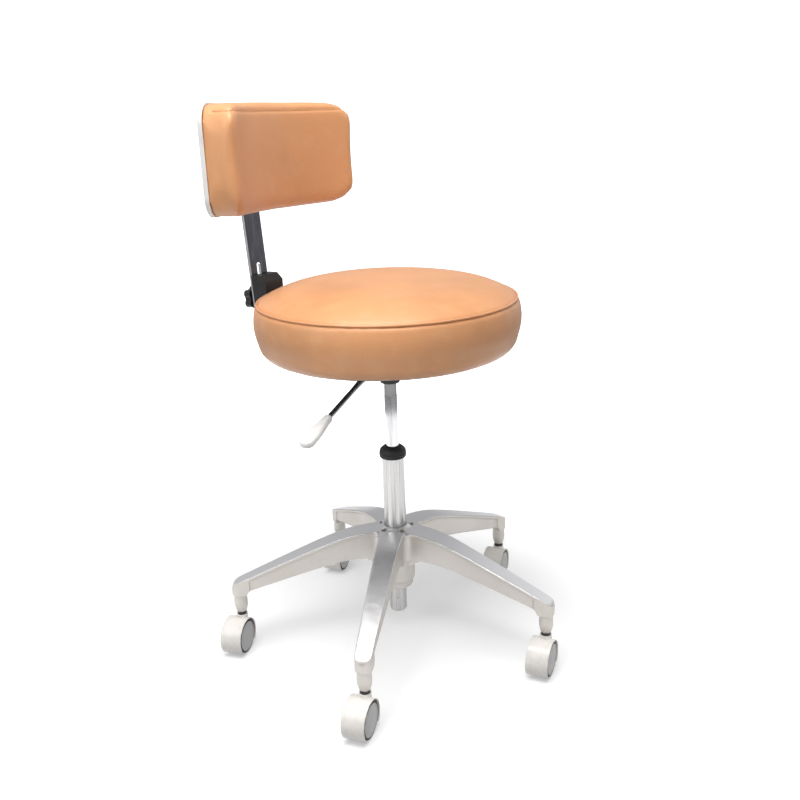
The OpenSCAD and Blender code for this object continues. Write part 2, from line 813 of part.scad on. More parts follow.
module back_cushion() {
    color("peachpuff") curved_slab(shell_rim, back_t, 1);
}

// ---------------------------------------------------------------- assembly

star_base();
outer_column();
guide_bush();
column_collar();
thrust_bearing();
stem_sleeves();
for (i = [1 : arm_count]) {
    caster_hood(i);
    caster_stem(i);
    caster_axle(i);
    wheel(i, 1);
    wheel(i, -1);
}
piston_rod();
retaining_clip();
gas_cylinder();
valve_pin();
seat_mechanism();
mechanism_screws();
board_nuts();
seat_board();
dust_cover();
seat_cushion();
lever_pivot_pin();
release_lever();
lever_paddle();
back_bracket();
bracket_bolts();
guide_block();
block_screws();
back_bar();
clamp_knob();
tilt_bracket();
tilt_pin();
tilt_bracket_screws();
back_shell();
back_board();
back_cushion();
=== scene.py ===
"""Looks for the dentist stool: soft covers, cast base, casters and finishes round the CAD frame."""
import json
import math

import bmesh
import bpy
from mathutils import Matrix, Vector, kdtree, noise
from mathutils.bvhtree import BVHTree


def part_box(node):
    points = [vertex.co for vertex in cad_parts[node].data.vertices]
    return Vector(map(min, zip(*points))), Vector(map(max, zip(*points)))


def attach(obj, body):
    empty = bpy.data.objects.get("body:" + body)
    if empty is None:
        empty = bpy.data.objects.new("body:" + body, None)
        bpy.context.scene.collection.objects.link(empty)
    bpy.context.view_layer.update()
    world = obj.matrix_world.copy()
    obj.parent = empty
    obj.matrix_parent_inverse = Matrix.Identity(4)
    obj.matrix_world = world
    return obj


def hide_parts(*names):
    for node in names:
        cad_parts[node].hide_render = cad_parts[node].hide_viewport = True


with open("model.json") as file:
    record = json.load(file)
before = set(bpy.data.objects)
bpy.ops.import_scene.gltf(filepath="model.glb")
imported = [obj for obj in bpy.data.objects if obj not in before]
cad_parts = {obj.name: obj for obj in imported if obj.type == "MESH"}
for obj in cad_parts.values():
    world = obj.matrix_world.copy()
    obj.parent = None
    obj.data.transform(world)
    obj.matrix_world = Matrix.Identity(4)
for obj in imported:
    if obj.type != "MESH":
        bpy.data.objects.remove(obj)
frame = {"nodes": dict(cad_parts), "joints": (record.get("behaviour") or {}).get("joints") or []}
NODES = frame["nodes"]
JOINTS = {j["name"]: j for j in frame["joints"]}
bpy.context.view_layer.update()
TAU = 2 * math.pi

# Lengths in metres and angles in radians that the shapes below are built on
FLOOR_R = 1.15               # the lit paper on the floor
BOWL_R = 6.5                 # the white backdrop
COLUMN_R = 0.0172
TAPER_Z = 0.4092             # the gas cylinder's taper starts here
LEVER_LEN = 0.210
LEVER_DROOP = math.radians(19)
BACK_CURVE_R = 0.330         # the backrest's curved rear surface
BACK_RIM = 0.008             # the shell's depth, where the cushion starts
BACK_REAR_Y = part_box("back_board")[1].y + 0.003
SPINE_R = 0.298              # the line inside the pad from which its surface is searched
SPINE_END = math.radians(22)


# ------------------------------------------------------------------ camera and light

# The camera stands to the sitter's right front, a little above the backrest's middle.
CAMERA_AZIMUTH = math.radians(-58.5)
CAMERA_DISTANCE = 1.2994
CAMERA_HEIGHT = 0.8135
CAMERA_PITCH = 0.3080
CAMERA_YAW = 0.0110
CAMERA_ROLL = -0.0350
LENS_MM = 39.64


def make_camera():
    a = CAMERA_AZIMUTH
    place = Vector((CAMERA_DISTANCE * math.sin(a), -CAMERA_DISTANCE * math.cos(a), CAMERA_HEIGHT))
    ahead = a - CAMERA_YAW + math.pi / 2
    forward = Vector((math.cos(ahead) * math.cos(CAMERA_PITCH), math.sin(ahead) * math.cos(CAMERA_PITCH),
                      -math.sin(CAMERA_PITCH)))
    right = Vector((math.sin(ahead), -math.cos(ahead), 0))
    up = right.cross(forward)
    c, s = math.cos(CAMERA_ROLL), math.sin(CAMERA_ROLL)
    x_axis = right * c + up * s
    y_axis = up * c - right * s
    turn = Matrix((x_axis, y_axis, -forward)).transposed()
    cam = bpy.data.objects.new("camera", bpy.data.cameras.new("camera"))
    cam.data.sensor_width = 36
    cam.data.lens = LENS_MM
    cam.data.clip_end = 50
    cam.matrix_world = Matrix.Translation(place) @ turn.to_4x4()
    bpy.context.scene.collection.objects.link(cam)
    bpy.context.scene.camera = cam


def area_light(name, place, target, size, watts, colour=(1, 1, 1)):
    data = bpy.data.lights.new(name, "AREA")
    data.shape = "RECTANGLE"
    data.size, data.size_y = size
    data.energy = watts
    data.color = colour
    lamp = bpy.data.objects.new(name, data)
    lamp.location = place
    lamp.rotation_mode = "QUATERNION"
    lamp.rotation_quaternion = (Vector(target) - Vector(place)).to_track_quat("-Z", "Y")
    bpy.context.scene.collection.objects.link(lamp)


def make_studio():
    """Four soft lamps over pale paper. The floor's bounce is left out, so undersides stay dark."""
    area_light("overhead", (-0.5, -0.1, 2.3), (0, 0, 0.5), (1.4, 1.4), 44)
    area_light("key", (-2.1, 1.0, 1.6), (0, 0, 0.5), (1.4, 1.4), 15)
    area_light("front_fill", (-1.0, -2.5, 0.7), (0, 0, 0.3), (2.2, 1.2), 4, (1.0, 0.90, 0.80))
    area_light("side_fill", (2.4, -0.9, 1.1), (0, 0, 0.4), (1.8, 1.6), 4)
    world = bpy.data.worlds.new("studio")
    bpy.context.scene.world = world
    world.use_nodes = True
    back = world.node_tree.nodes["Background"]
    back.inputs["Color"].default_value = (0.98, 0.98, 1.0, 1)
    back.inputs["Strength"].default_value = 0.42
    bpy.context.scene.view_settings.view_transform = "Standard"
    near = disc("floor", 0.001, FLOOR_R, floor_paper())
    far = disc("far_floor", FLOOR_R, BOWL_R + 0.5, white_paper())
    mesh = bpy.data.meshes.new("backdrop")
    bm = bmesh.new()
    bmesh.ops.create_uvsphere(bm, u_segments=48, v_segments=24, radius=BOWL_R)
    bm.to_mesh(mesh)
    bm.free()
    bowl = bpy.data.objects.new("backdrop", mesh)
    bpy.context.scene.collection.objects.link(bowl)
    bowl.data.materials.append(white_paper())
    for paper in (near, far, bowl):
        paper.visible_diffuse = False
    for paper in (far, bowl):
        paper.visible_glossy = False
        paper.visible_shadow = False
        paper.visible_transmission = False


def disc(name, inner, outer, material):
    """A flat ring of paper on the floor."""
    count = 96
    verts, faces = [], []
    for radius in (inner, outer):
        for k in range(count):
            a = TAU * k / count
            verts.append((radius * math.cos(a), radius * math.sin(a), 0))
    for k in range(count):
        n = (k + 1) % count
        faces.append((k, count + k, count + n, n))
    mesh = bpy.data.meshes.new(name)
    mesh.from_pydata(verts, [], faces)
    made = bpy.data.objects.new(name, mesh)
    bpy.context.scene.collection.objects.link(made)
    made.data.materials.append(material)
    return made


def floor_paper():
    """Pale paper that grows whiter towards the edge of the lit disc."""
    paper = Finish("floor_paper", (0.80, 0.80, 0.80), roughness=0.8, specular=0.2)
    paper.vary(0.005, 3.0)
    paper.glow(1.0)
    distance = paper.node("ShaderNodeVectorMath")
    distance.operation = "LENGTH"
    paper.link(paper.coords, distance.inputs[0])
    shine = paper.ramp(distance.outputs["Value"], 0.30, FLOOR_R - 0.15, 0.30, 0.9)
    paper.link(shine, paper.shader.inputs["Emission Strength"])
    return paper.material


def white_paper():
    paper = Finish("backdrop_paper", (0.9, 0.9, 0.9), roughness=0.9, specular=0.0)
    paper.vary(0.005, 1.0)
    paper.glow(1.2)
    return paper.material


# ------------------------------------------------------------------ materials

class Finish:
    """A procedural material: a base colour with layers of variation, bump and roughness."""

    def __init__(self, name, colour, roughness=0.5, metallic=0.0, coat=0.0, coat_roughness=0.1,
                 specular=0.5, sheen=0.0, anisotropic=0.0):
        self.material = bpy.data.materials.new(name)
        self.material.use_nodes = True
        self.tree = self.material.node_tree
        self.shader = self.tree.nodes["Principled BSDF"]
        put = self.shader.inputs
        put["Base Color"].default_value = (*colour, 1)
        put["Roughness"].default_value = roughness
        put["Metallic"].default_value = metallic
        put["Coat Weight"].default_value = coat
        put["Coat Roughness"].default_value = coat_roughness
        put["Specular IOR Level"].default_value = specular
        put["Sheen Weight"].default_value = sheen
        put["Anisotropic"].default_value = anisotropic
        self.colour = None
        self.rough = roughness
        self.height = None
        self.base = colour
        self.coords = self.node("ShaderNodeTexCoord").outputs["Object"]

    def node(self, kind, **inputs):
        made = self.tree.nodes.new(kind)
        for key, value in inputs.items():
            made.inputs[key.replace("_", " ")].default_value = value
        return made

    def link(self, a, b):
        self.tree.links.new(a, b)

    def stretched(self, scale):
        """Object coordinates scaled differently along each axis."""
        mapping = self.node("ShaderNodeMapping")
        mapping.inputs["Scale"].default_value = scale
        self.link(self.coords, mapping.inputs["Vector"])
        return mapping.outputs["Vector"]

    def noise(self, scale, detail=3.0, roughness=0.5, coords=None):
        made = self.node("ShaderNodeTexNoise", Scale=scale, Detail=detail, Roughness=roughness)
        self.link(coords or self.coords, made.inputs["Vector"])
        return made.outputs["Fac"]

    def ramp(self, value, low, high, to_low=0.0, to_high=1.0):
        made = self.node("ShaderNodeMapRange")
        made.clamp = True
        for key, number in (("From Min", low), ("From Max", high), ("To Min", to_low), ("To Max", to_high)):
            made.inputs[key].default_value = number
        self.link(value, made.inputs["Value"])
        return made.outputs["Result"]

    def mix(self, factor, first, second):
        """Mixes two colours; first and second are colours or sockets."""
        made = self.tree.nodes.new("ShaderNodeMix")
        made.data_type = "RGBA"
        self.link(factor, made.inputs["Factor"])
        for value, socket in ((first, made.inputs[6]), (second, made.inputs[7])):
            if isinstance(value, tuple):
                socket.default_value = (*value, 1)
            else:
                self.link(value, socket)
        return made.outputs[2]

    def math(self, operation, a, b=None):
        made = self.tree.nodes.new("ShaderNodeMath")
        made.operation = operation
        for value, socket in ((a, made.inputs[0]), (b, made.inputs[1])):
            if value is None:
                continue
            if isinstance(value, (int, float)):
                socket.default_value = value
            else:
                self.link(value, socket)
        return made.outputs[0]

    def tint(self, factor, colour):
        """Lays a colour over what is there, by factor."""
        self.colour = self.mix(factor, self.colour or self.base, colour)
        self.link(self.colour, self.shader.inputs["Base Color"])

    def vary(self, amount, scale, coords=None):
        """Cloudy darker and lighter places in the colour."""
        cloud = self.noise(scale, 4.0, coords=coords)
        darker = tuple(max(c * (1 - 2 * amount), 0) for c in self.base)
        lighter = tuple(min(c * (1 + amount), 1) for c in self.base)
        self.tint(self.ramp(cloud, 0.35, 0.5, 1, 0), darker)
        self.tint(self.ramp(cloud, 0.5, 0.7, 0, 0.8), lighter)

    def roughen(self, amount, scale, coords=None):
        """Cloudy roughness, plus or minus amount."""
        cloud = self.noise(scale, 5.0, coords=coords)
        low = max(self.rough - amount, 0.02)
        high = min(self.rough + amount, 1.0)
        self.link(self.ramp(cloud, 0.3, 0.7, low, high), self.shader.inputs["Roughness"])

    def bump(self, height, distance, strength=1.0):
        """Adds a bump layer over the ones that are there."""
        made = self.node("ShaderNodeBump", Strength=strength, Distance=distance)
        self.link(height, made.inputs["Height"])
        if self.height is not None:
            self.link(self.height, made.inputs["Normal"])
        self.height = made.outputs["Normal"]
        self.link(self.height, self.shader.inputs["Normal"])

    def glow(self, strength):
        """Lets staging paper shine a little, so that it stays white."""
        self.shader.inputs["Emission Color"].default_value = (1, 1, 1, 1)
        self.shader.inputs["Emission Strength"].default_value = strength

    def worn_edges(self, colour, low=0.52, high=0.62, share=0.6):
        """Rubbed convex edges."""
        geometry = self.node("ShaderNodeNewGeometry")
        worn = self.ramp(geometry.outputs["Pointiness"], low, high, 0, share)
        self.tint(self.math("MULTIPLY", worn, self.noise(60, 4)), colour)


def leather():
    tan = (0.73, 0.345, 0.150)
    skin = Finish("tan_leatherette", tan, roughness=0.36, coat=0.14, coat_roughness=0.25, specular=0.45,
                  sheen=0.04)
    skin.vary(0.07, 5.0)
    skin.tint(skin.ramp(skin.noise(38, 5), 0.5, 0.75, 0, 0.25), (0.80, 0.46, 0.24))
    skin.roughen(0.07, 14)
    grain = skin.node("ShaderNodeTexVoronoi", Scale=620.0)
    grain.feature = "DISTANCE_TO_EDGE"
    skin.link(skin.coords, grain.inputs["Vector"])
    creases = skin.ramp(grain.outputs["Distance"], 0.0, 0.12)
    skin.bump(creases, 0.00012, 0.55)
    skin.bump(skin.noise(260, 4), 0.0003, 0.25)
    skin.bump(skin.noise(30, 2), 0.0012, 0.18)
    # Painted shade: the grain's creases are darkened
    crease_painted_shade = skin.ramp(grain.outputs["Distance"], 0.0, 0.10, 0.5, 0)
    skin.tint(skin.math("MULTIPLY", crease_painted_shade, 0.5), (0.36, 0.16, 0.07))
    return skin.material


def thread():
    cotton = Finish("thread", (0.62, 0.33, 0.16), roughness=0.7)
    cotton.vary(0.1, 200)
    cotton.bump(cotton.noise(900, 2), 0.0004, 0.6)
    return cotton.material


def cast_aluminium():
    metal = Finish("cast_aluminium", (0.62, 0.595, 0.565), roughness=0.40, metallic=0.85)
    geometry = metal.node("ShaderNodeNewGeometry")
    split = metal.node("ShaderNodeSeparateXYZ")
    metal.link(geometry.outputs["Normal"], split.inputs["Vector"])
    # upward is a mask of the faces that point up; below it carries painted light on the tops
    upward = metal.ramp(split.outputs["Z"], 0.45, 0.85)
    patches = metal.noise(9, 5)
    metal.tint(metal.ramp(patches, 0.42, 0.72, 0, 0.45), (0.50, 0.45, 0.40))
    # Painted light: faces that point upwards are tinted near white, standing for the light that falls on the
    # tops; the same mask also lowers their roughness
    metal.tint(upward, (0.93, 0.93, 0.94))
    metal.tint(metal.ramp(metal.noise(55, 6), 0.58, 0.8, 0, 0.10), (0.60, 0.59, 0.58))
    smooth = metal.ramp(upward, 0, 1, 0.50, 0.34)
    grainy = metal.ramp(metal.noise(120, 4), 0.3, 0.7, -0.03, 0.04)
    metal.link(metal.math("ADD", smooth, grainy), metal.shader.inputs["Roughness"])
    metal.bump(metal.noise(900, 3), 0.00030, 0.28)
    metal.bump(metal.noise(60, 3), 0.0008, 0.10)
    metal.worn_edges((0.93, 0.93, 0.93), share=0.8)
    return metal.material


def satin_steel(name, colour=(0.70, 0.70, 0.71), roughness=0.28):
    metal = Finish(name, colour, roughness=roughness, metallic=1.0, anisotropic=0.3)
    lengthwise = metal.stretched((420, 420, 6))
    metal.vary(0.11, 1.0, lengthwise)
    metal.roughen(0.10, 1.3, lengthwise)
    metal.bump(metal.noise(1.0, 2, coords=lengthwise), 0.0002, 0.25)
    metal.tint(metal.ramp(metal.noise(22, 4), 0.6, 0.8, 0, 0.3), tuple(c * 0.72 for c in colour))
    return metal.material


def chrome(name):
    metal = Finish(name, (0.86, 0.86, 0.87), roughness=0.09, metallic=1.0)
    metal.roughen(0.05, 25)
    scratches = metal.noise(1.0, 3, coords=metal.stretched((180, 180, 14)))
    metal.tint(metal.ramp(scratches, 0.62, 0.78, 0, 0.35), (0.70, 0.70, 0.71))
    metal.bump(scratches, 0.0001, 0.12)
    return metal.material


def chrome_with_dull_taper(start_z):
    """The gas cylinder: bright tube, duller above start_z where the taper begins."""
    metal = Finish("cylinder_chrome", (0.58, 0.58, 0.59), roughness=0.16, metallic=1.0)
    split = metal.node("ShaderNodeSeparateXYZ")
    metal.link(metal.coords, split.inputs["Vector"])
    dull = metal.ramp(split.outputs["Z"], start_z - 0.0004, start_z + 0.0004)
    metal.tint(dull, (0.36, 0.36, 0.36))
    streaks = metal.noise(1.0, 3, coords=metal.stretched((160, 160, 10)))
    metal.tint(metal.ramp(streaks, 0.5, 0.72, 0, 0.6), (0.36, 0.36, 0.37))
    bright = metal.ramp(metal.noise(25, 4), 0.3, 0.7, 0.06, 0.13)
    metal.link(metal.math("ADD", bright, metal.ramp(dull, 0, 1, 0, 0.25)), metal.shader.inputs["Roughness"])
    metal.bump(metal.noise(1.0, 3, coords=metal.stretched((180, 180, 14))), 0.0001, 0.15)
    return metal.material


def zinc_steel():
    metal = Finish("zinc_steel", (0.60, 0.60, 0.60), roughness=0.36, metallic=1.0)
    metal.vary(0.08, 60)
    metal.roughen(0.1, 90)
    metal.bump(metal.noise(500, 3), 0.0002, 0.3)
    metal.worn_edges((0.85, 0.85, 0.85))
    return metal.material


def bar_steel():
    """Flat bar: bright narrow edges; dull dark broad faces, whose darkness is painted shade and dark reflection
    set by the way they face.
    """
    metal = Finish("bar_steel", (0.84, 0.84, 0.85), roughness=0.2, metallic=1.0)
    geometry = metal.node("ShaderNodeNewGeometry")
    split = metal.node("ShaderNodeSeparateXYZ")
    metal.link(geometry.outputs["Normal"], split.inputs["Vector"])
    broad_faces_painted_dark = metal.ramp(metal.math("ABSOLUTE", split.outputs["Y"]), 0.6, 0.9)
    # Painted shade and reflection: faces turned towards plus or minus Y are tinted near black
    metal.tint(broad_faces_painted_dark, (0.10, 0.10, 0.115))
    streaks = metal.noise(1.0, 3, coords=metal.stretched((260, 260, 8)))
    metal.tint(metal.ramp(streaks, 0.55, 0.75, 0, 0.35), (0.34, 0.34, 0.36))
    metal.roughen(0.08, 40)
    metal.bump(streaks, 0.0002, 0.2)
    return metal.material


def dark_steel():
    metal = Finish("blackened_steel", (0.045, 0.045, 0.05), roughness=0.42, metallic=0.7)
    metal.vary(0.2, 80)
    metal.roughen(0.1, 120)
    metal.bump(metal.noise(600, 3), 0.0002, 0.3)
    metal.worn_edges((0.35, 0.35, 0.35))
    return metal.material


def black_paint():
    paint = Finish("black_paint", (0.018, 0.018, 0.02), roughness=0.38, coat=0.2, coat_roughness=0.3)
    paint.vary(0.15, 30)
    paint.roughen(0.09, 70)
    paint.bump(paint.noise(420, 3), 0.0004, 0.35)
    paint.worn_edges((0.25, 0.25, 0.25), 0.55, 0.68, 0.7)
    return paint.material


def moulded(name, colour, roughness, coat=0.0, texture=0.3, dust=0.0):
    plastic = Finish(name, colour, roughness=roughness, coat=coat, coat_roughness=0.15)
    plastic.vary(0.035, 25)
    plastic.roughen(0.07, 60)
    plastic.bump(plastic.noise(700, 3), 0.0002, texture)
    if dust:
        plastic.tint(plastic.ramp(plastic.noise(35, 5), 0.5, 0.8, 0, dust), (0.50, 0.47, 0.42))
    return plastic.material


def rubber(name):
    soft = Finish(name, (0.016, 0.016, 0.018), roughness=0.55)
    soft.vary(0.2, 60)
    soft.roughen(0.12, 90)
    soft.bump(soft.noise(500, 4), 0.0003, 0.4)
    soft.tint(soft.ramp(soft.noise(45, 5), 0.55, 0.8, 0, 0.3), (0.10, 0.10, 0.10))
    return soft.material


def plywood():
    wood = Finish("plywood", (0.55, 0.37, 0.20), roughness=0.6)
    along = wood.stretched((4, 60, 260))
    wood.tint(wood.ramp(wood.noise(1.0, 5, coords=along), 0.4, 0.7), (0.40, 0.24, 0.12))
    wood.bump(wood.noise(1.5, 4, coords=along), 0.0004, 0.4)
    return wood.material


def lining():
    cloth = Finish("lining", (0.022, 0.022, 0.024), roughness=0.85, sheen=0.3)
    for axis in ((1, 0, 0), (0, 1, 0)):
        wave = cloth.node("ShaderNodeTexWave", Scale=900.0)
        wave.bands_direction = "X" if axis[0] else "Y"
        cloth.link(cloth.coords, wave.inputs["Vector"])
        cloth.bump(wave.outputs["Fac"], 0.0003, 0.4)
    cloth.vary(0.25, 40)
    return cloth.material


def brass():
    metal = Finish("brass", (0.72, 0.52, 0.22), roughness=0.3, metallic=1.0)
    metal.vary(0.08, 90)
    metal.roughen(0.08, 120)
    return metal.material


# ------------------------------------------------------------------ mesh helpers

def new_object(name, verts, faces, material, smooth_angle=40):
    mesh = bpy.data.meshes.new(name)
    mesh.from_pydata([tuple(v) for v in verts], [], faces)
    mesh.validate()
    made = bpy.data.objects.new(name, mesh)
    bpy.context.scene.collection.objects.link(made)
    made.data.materials.append(material)
    tidy_normals(made)
    shade(made, smooth_angle)
    return made


def tidy_normals(made):
    bm = bmesh.new()
    bm.from_mesh(made.data)
    bmesh.ops.remove_doubles(bm, verts=bm.verts, dist=1e-6)
    bmesh.ops.recalc_face_normals(bm, faces=bm.faces)
    bm.to_mesh(made.data)
    bm.free()


def shade(made, angle=40):
    for poly in made.data.polygons:
        poly.use_smooth = True
    made.data.set_sharp_from_angle(angle=math.radians(angle))


def add_modifier(made, kind, **settings):
    modifier = made.modifiers.new(kind.lower(), kind)
    for key, value in settings.items():
        setattr(modifier, key, value)
    return modifier


def apply_modifiers(made):
    """Bakes the object's modifiers into a new mesh."""
    bpy.context.view_layer.update()
    evaluated = made.evaluated_get(bpy.context.evaluated_depsgraph_get())
    mesh = bpy.data.meshes.new_from_object(evaluated)
    made.modifiers.clear()
    made.data = mesh


def revolve(name, outline, place, material, axis=(0, 0, 1), segments=96, smooth_angle=35):
    """Turns (radius, height) points about an axis through place. The outline starts and ends on the axis
    or is closed on itself."""
    turn = Vector((0, 0, 1)).rotation_difference(Vector(axis)).to_matrix()
    place = Vector(place)
    closed = outline[0] == outline[-1]
    points = outline[:-1] if closed else outline
    verts, rings = [], []
    for radius, height in points:
        if radius < 1e-7:
            rings.append([len(verts)])
            verts.append(place + turn @ Vector((0, 0, height)))
            continue
        rings.append(list(range(len(verts), len(verts) + segments)))
        for k in range(segments):
            a = TAU * k / segments
            verts.append(place + turn @ Vector((radius * math.cos(a), radius * math.sin(a), height)))
    faces = []
    pairs = list(zip(rings, rings[1:])) + ([(rings[-1], rings[0])] if closed else [])
    for low, high in pairs:
        for k in range(segments):
            n = (k + 1) % segments
            if len(low) == 1 and len(high) == 1:
                continue
            if len(low) == 1:
                faces.append((low[0], high[n], high[k]))
            elif len(high) == 1:
                faces.append((low[k], low[n], high[0]))
            else:
                faces.append((low[k], low[n], high[n], high[k]))
    return new_object(name, verts, faces, material, smooth_angle)


def arc(cx, cy, radius, start, end, steps):
    """Points of an arc in degrees, both ends included."""
    return [(cx + radius * math.cos(math.radians(start + (end - start) * k / steps)),
             cy + radius * math.sin(math.radians(start + (end - start) * k / steps))) for k in range(steps + 1)]


def tube_along(name, points, radius, material, sides=10):
    """A closed tube along points, with one ring per point."""
    verts, faces = [], []
    count = len(points)
    for k, p in enumerate(points):
        ahead = (points[(k + 1) % count] - points[k - 1]).normalized()
        side = ahead.cross(Vector((0, 0, 1))).normalized()
        up = side.cross(ahead)
        for s in range(sides):
            a = TAU * s / sides
            verts.append(p + (side * math.cos(a) + up * math.sin(a)) * radius)
    for k in range(count):
        n = (k + 1) % count
        for s in range(sides):
            t = (s + 1) % sides
            faces.append((k * sides + s, k * sides + t, n * sides + t, n * sides + s))
    return new_object(name, verts, faces, material, 60)


def finished(made, node_body, *nodes, slot=None):
    """Rides a new piece on its body and hides the CAD nodes that it stands for."""
    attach(made, node_body)
    if nodes:
        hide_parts(*nodes)
    return made


def remeshed_copy(node, name, voxel, rounds, material):
    """A copy of a CAD node with its edges softened as a casting's or moulding's are."""
    made = bpy.data.objects.new(name, NODES[node].data.copy())
    bpy.context.scene.collection.objects.link(made)
    tidy_normals(made)
    add_modifier(made, "REMESH", mode="VOXEL", voxel_size=voxel, use_smooth_shade=True)
    add_modifier(made, "SMOOTH", factor=0.5, iterations=rounds)
    apply_modifiers(made)
    made.data.materials.clear()
    made.data.materials.append(material)
    shade(made, 60)
    return made


def refine(node, material, width=0.0005, segments=2, angle=35):
    """Keeps a CAD node, with softened edges and its own finish."""
    made = NODES[node]
    made.data.materials.clear()
    made.data.materials.append(material)
    for poly in made.data.polygons:
        poly.use_smooth = True
    add_modifier(made, "WELD", merge_threshold=1e-6)
    if width:
        add_modifier(made, "BEVEL", width=width, segments=segments, limit_method="ANGLE",
                     angle_limit=math.radians(angle), harden_normals=False, use_clamp_overlap=True)
    add_modifier(made, "WEIGHTED_NORMAL", keep_sharp=True)


# ------------------------------------------------------------------ soft pieces

def step_cloth(made, pin_weight, pressure, stiffness, cap, frames=20):
    """Lets pressure fill a stitched cover, as foam does, and keeps each point within cap of where it began."""
    rest = [v.co.copy() for v in made.data.vertices]
    group = made.vertex_groups.new(name="stitched")
    for v in made.data.vertices:
        weight = pin_weight(v.co)
        if weight > 0:
            group.add([v.index], weight, "REPLACE")
    settings = add_modifier(made, "CLOTH").settings
    settings.quality = 6
    settings.mass = 0.3
    settings.tension_stiffness = stiffness
    settings.compression_stiffness = stiffness
    settings.shear_stiffness = stiffness / 2
    settings.bending_stiffness = 1.5
    settings.use_pressure = True
    settings.uniform_pressure_force = pressure
    settings.vertex_group_mass = "stitched"
    settings.effector_weights.gravity = 0
    cloth = made.modifiers[-1]
    cloth.point_cache.frame_start = 1
    cloth.point_cache.frame_end = frames
    scene = bpy.context.scene
    for number in range(1, frames + 1):
        scene.frame_set(number)
    evaluated = made.evaluated_get(bpy.context.evaluated_depsgraph_get())
    filled = [v.co.copy() for v in evaluated.data.vertices]
    made.modifiers.clear()
    made.vertex_groups.clear()
    for v, start, end in zip(made.data.vertices, rest, filled):
        shift = end - start
        v.co = start + shift * min(1.0, cap / max(shift.length, 1e-9))
    scene.frame_set(1)


def relax(made, rounds, weight):
    """Smooths a mesh, more where weight(point) is high."""
    group = made.vertex_groups.new(name="soft")
    for v in made.data.vertices:
        group.add([v.index], max(0.0, min(1.0, weight(v.co))), "REPLACE")
    add_modifier(made, "SMOOTH", factor=0.5, iterations=rounds, vertex_group="soft")
    apply_modifiers(made)
    made.vertex_groups.clear()


def voxel(made, size):
    add_modifier(made, "REMESH", mode="VOXEL", voxel_size=size, use_smooth_shade=True)
    apply_modifiers(made)


def subdivide(made, levels=1):
    add_modifier(made, "SUBSURF", levels=levels, render_levels=levels)
    apply_modifiers(made)


def surface_tree(made):
    """A search tree over the mesh as it is now."""
    return BVHTree.FromPolygons([v.co.copy() for v in made.data.vertices],
                                [tuple(p.vertices) for p in made.data.polygons])


def surface_hit(tree, outside, inward):
    """Where a ray from outside first meets the surface."""
    hit = tree.ray_cast(outside, inward)[0]
    return hit if hit is not None else outside


def press_seam(made, path, depth, spread):
    """Draws the cover in along a seam."""
    tree = kdtree.KDTree(len(path))
    for k, p in enumerate(path):
        tree.insert(p, k)
    tree.balance()
    normals = [v.normal.copy() for v in made.data.vertices]
    for v, normal in zip(made.data.vertices, normals):
        distance = tree.find(v.co)[2]
        if distance < 4 * spread:
            v.co -= normal * depth * math.exp(-0.5 * (distance / spread) ** 2)


def stitches(name, path, material, radius=0.0005, stitch=0.0036, space=0.0016):
    """Short threads that follow a path."""
    verts, faces = [], []
    run = 0.0
    start = path[0]
    sides = 6
    for a, b in zip(path, path[1:]):
        run += (b - a).length
        if run < stitch + space:
            continue
        ahead = (b - start).normalized()
        end = start + ahead * stitch
        side = ahead.cross(Vector((0.3, 0.2, 1))).normalized()
        up = side.cross(ahead)
        base = len(verts)
        taper = ahead * stitch * 0.2
        for centre, size in ((start, 0.35), (start + taper, 1.0), (end - taper, 1.0), (end, 0.35)):
            for s in range(sides):
                angle = TAU * s / sides
                verts.append(centre + (side * math.cos(angle) + up * math.sin(angle)) * radius * size)
        for ring in range(3):
            for s in range(sides):
                t = (s + 1) % sides
                low, high = base + ring * sides, base + (ring + 1) * sides
                faces.append((low + s, low + t, high + t, high + s))
        faces.append(tuple(base + s for s in reversed(range(sides))))
        faces.append(tuple(base + 3 * sides + s for s in range(sides)))
        start = b
        run = 0.0
    return new_object(name, verts, faces, material, 80)


